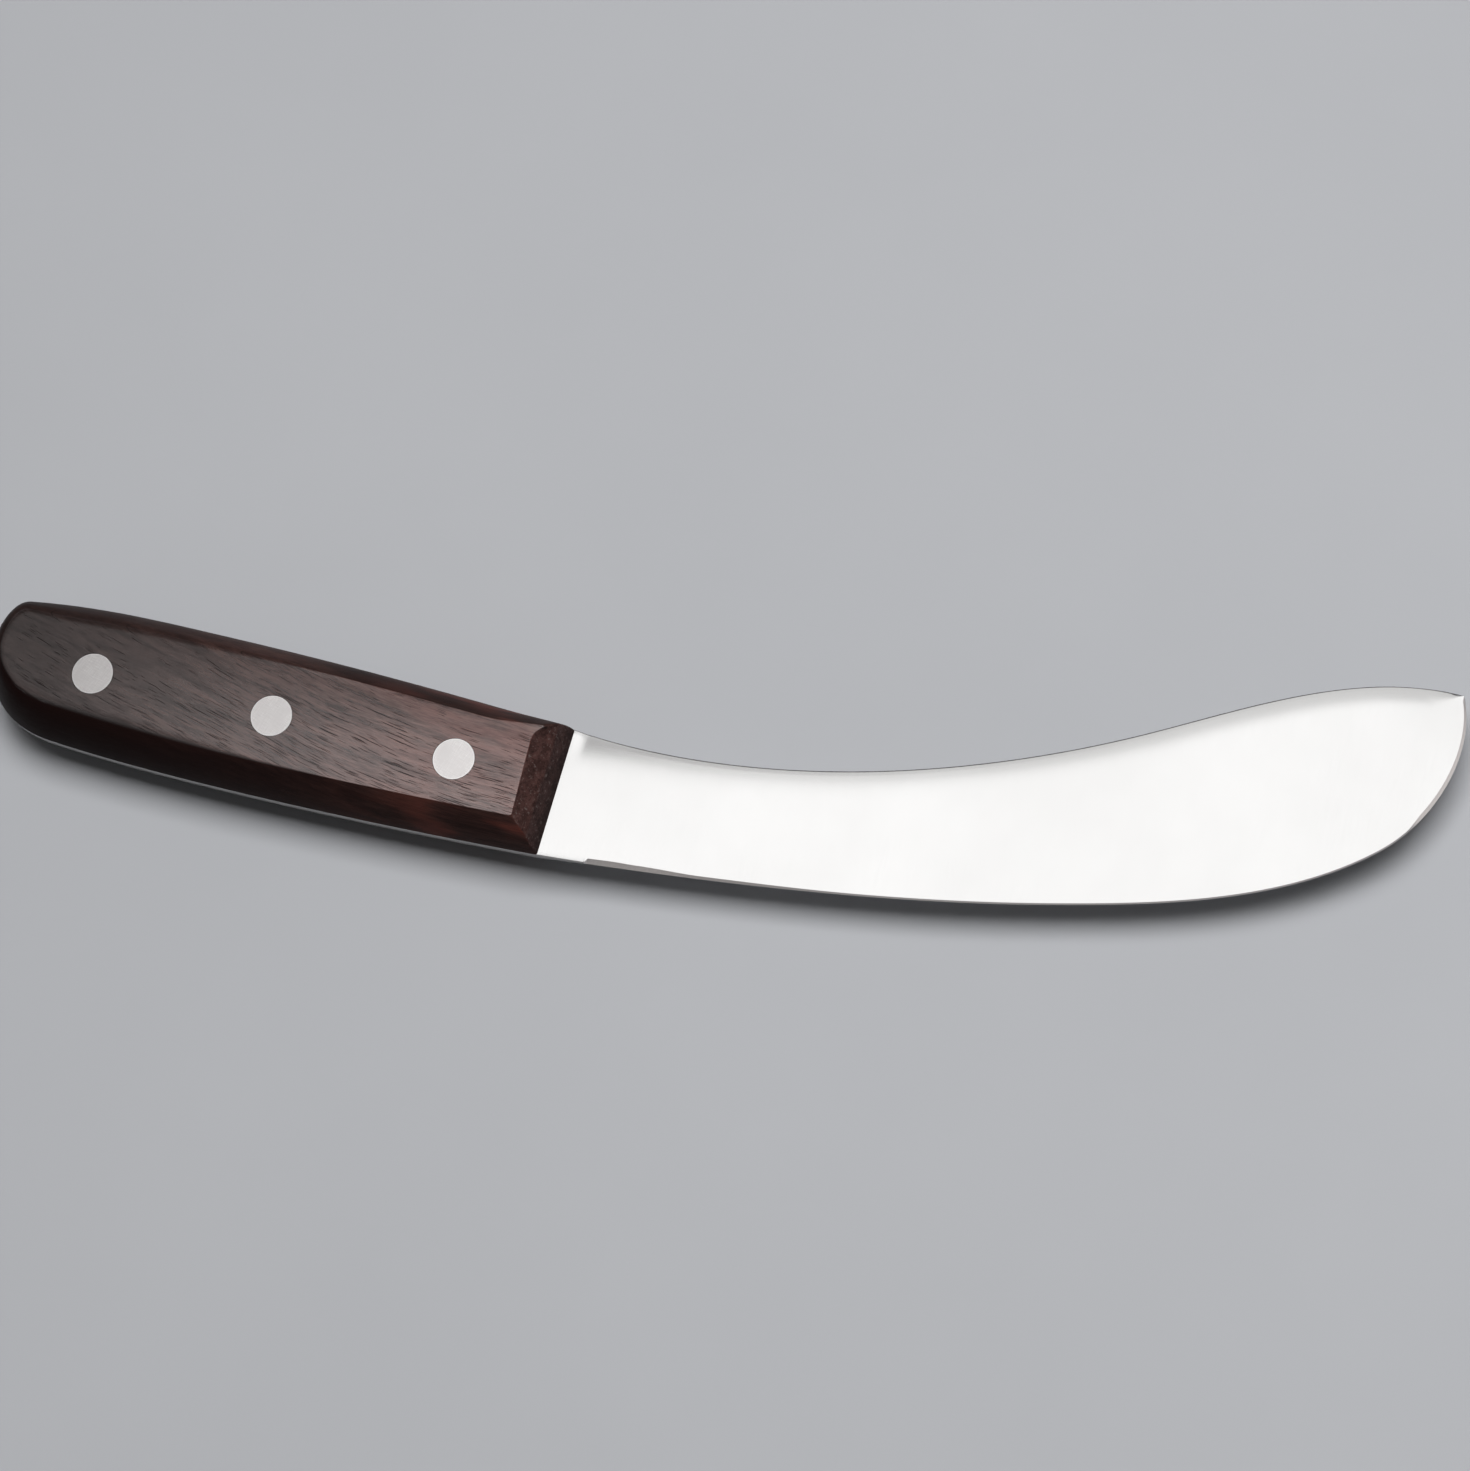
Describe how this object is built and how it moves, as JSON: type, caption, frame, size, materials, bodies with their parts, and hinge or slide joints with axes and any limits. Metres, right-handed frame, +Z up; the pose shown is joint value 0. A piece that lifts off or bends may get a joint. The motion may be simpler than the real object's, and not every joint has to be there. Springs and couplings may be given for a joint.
{
  "type": "kawahagi knife",
  "caption": "Skinning knife with a wide upswept blunt-tipped blade, full tang, dark wooden handle scales and flush round rivets.",
  "frame": {"origin": "on the surface that the knife lies on, under the middle of its bounding box", "axes": "+X along the rivet line towards the tip, +Y from the cutting edge towards the spine, +Z up, square to the blade's faces"},
  "size_m": [0.2754, 0.072, 0.0182],
  "materials": {
    "blade_steel": "finely polished stainless steel",
    "dark_wood": "smooth dark rosewood with open pores",
    "rivet_steel": "ground flush, fine scratches"
  },
  "bodies": {
    "root": {"blade": "blade_steel", "right_scale": "dark_wood", "left_scale": "dark_wood", "front_rivet_female": "rivet_steel", "front_rivet_male": "rivet_steel", "middle_rivet_female": "rivet_steel", "middle_rivet_male": "rivet_steel", "rear_rivet_female": "rivet_steel", "rear_rivet_male": "rivet_steel"}
  },
  "joints": []
}
